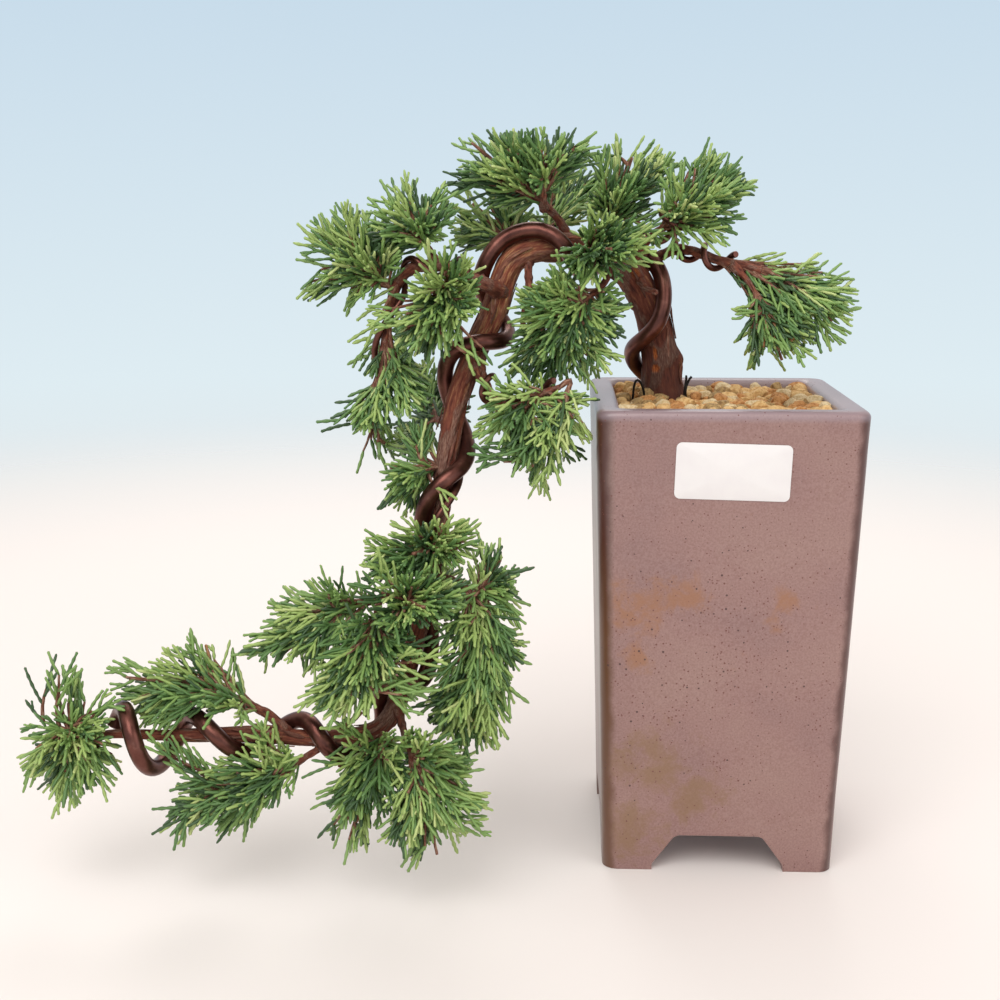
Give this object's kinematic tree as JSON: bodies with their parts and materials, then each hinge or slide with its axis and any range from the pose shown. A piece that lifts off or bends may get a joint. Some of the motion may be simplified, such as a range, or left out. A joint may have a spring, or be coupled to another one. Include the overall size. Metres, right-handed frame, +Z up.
{
  "type": "juniper bonsai",
  "caption": "Cascade-style juniper bonsai in a tall square glazed pot, its trunk arching over the rim and trailing down to one side, wound with training wire.",
  "frame": {"origin": "on the ground under the middle of the whole plant's bounding box, pot included", "axes": "+Z up out of the ground; +X along the plant's longest side, from the trailing tail towards the pot; -Y is the front"},
  "size_m": [0.2962, 0.1374, 0.2698],
  "materials": {
    "pot_glaze": "satin mauve-brown glaze with iron specks",
    "grit": "coarse matt baked-clay and pumice grit",
    "bark": "stringy red-brown juniper bark",
    "anodised_wire": "satin copper-brown anodised aluminium wire",
    "juniper_foliage": "scale-leaved juniper sprays"
  },
  "bodies": {
    "root": {"bough_apex": "bark", "bough_apex_right": "bark", "bough_back_drop": "bark", "bough_back_top": "bark", "bough_bottom": "bark", "bough_hang": "bark", "bough_left": "bark", "bough_left_top": "bark", "bough_low_left": "bark", "bough_low_right": "bark", "bough_right": "bark", "bough_right_down": "bark", "bough_right_upper": "bark", "bough_tail_lower": "bark", "bough_tail_upper": "bark", "bough_under": "bark", "foliage_apex": "juniper_foliage", "foliage_apex_right": "juniper_foliage", "foliage_back_drop": "juniper_foliage", "foliage_back_low": "juniper_foliage", "foliage_back_top": "juniper_foliage", "foliage_bottom": "juniper_foliage", "foliage_bottom_left": "juniper_foliage", "foliage_centre": "juniper_foliage", "foliage_drop_left": "juniper_foliage", "foliage_hang": "juniper_foliage", "foliage_left_inner": "juniper_foliage", "foliage_left_mid": "juniper_foliage", "foliage_left_outer": "juniper_foliage", "foliage_left_top": "juniper_foliage", "foliage_low_centre": "juniper_foliage", "foliage_low_hang": "juniper_foliage", "foliage_low_left": "juniper_foliage", "foliage_low_middle": "juniper_foliage", "foliage_low_right": "juniper_foliage", "foliage_right_down": "juniper_foliage", "foliage_right_far": "juniper_foliage", "foliage_right_upper": "juniper_foliage", "foliage_sprig": "juniper_foliage", "foliage_tail_end": "juniper_foliage", "foliage_tail_lower": "juniper_foliage", "foliage_tail_upper": "juniper_foliage", "foliage_top_front": "juniper_foliage", "foliage_top_right": "juniper_foliage", "foliage_under": "juniper_foliage", "pot": "pot_glaze", "soil": "grit", "trunk_arch": "bark", "trunk_drop": "bark", "trunk_foot": "bark", "trunk_tail": "bark", "wire_arch": "anodised_wire", "wire_drop": "anodised_wire", "wire_foot": "anodised_wire", "wire_left": "anodised_wire", "wire_right": "anodised_wire", "wire_right_upper": "anodised_wire", "wire_second": "anodised_wire", "wire_tail": "anodised_wire", "wire_under": "anodised_wire"}
  },
  "joints": []
}
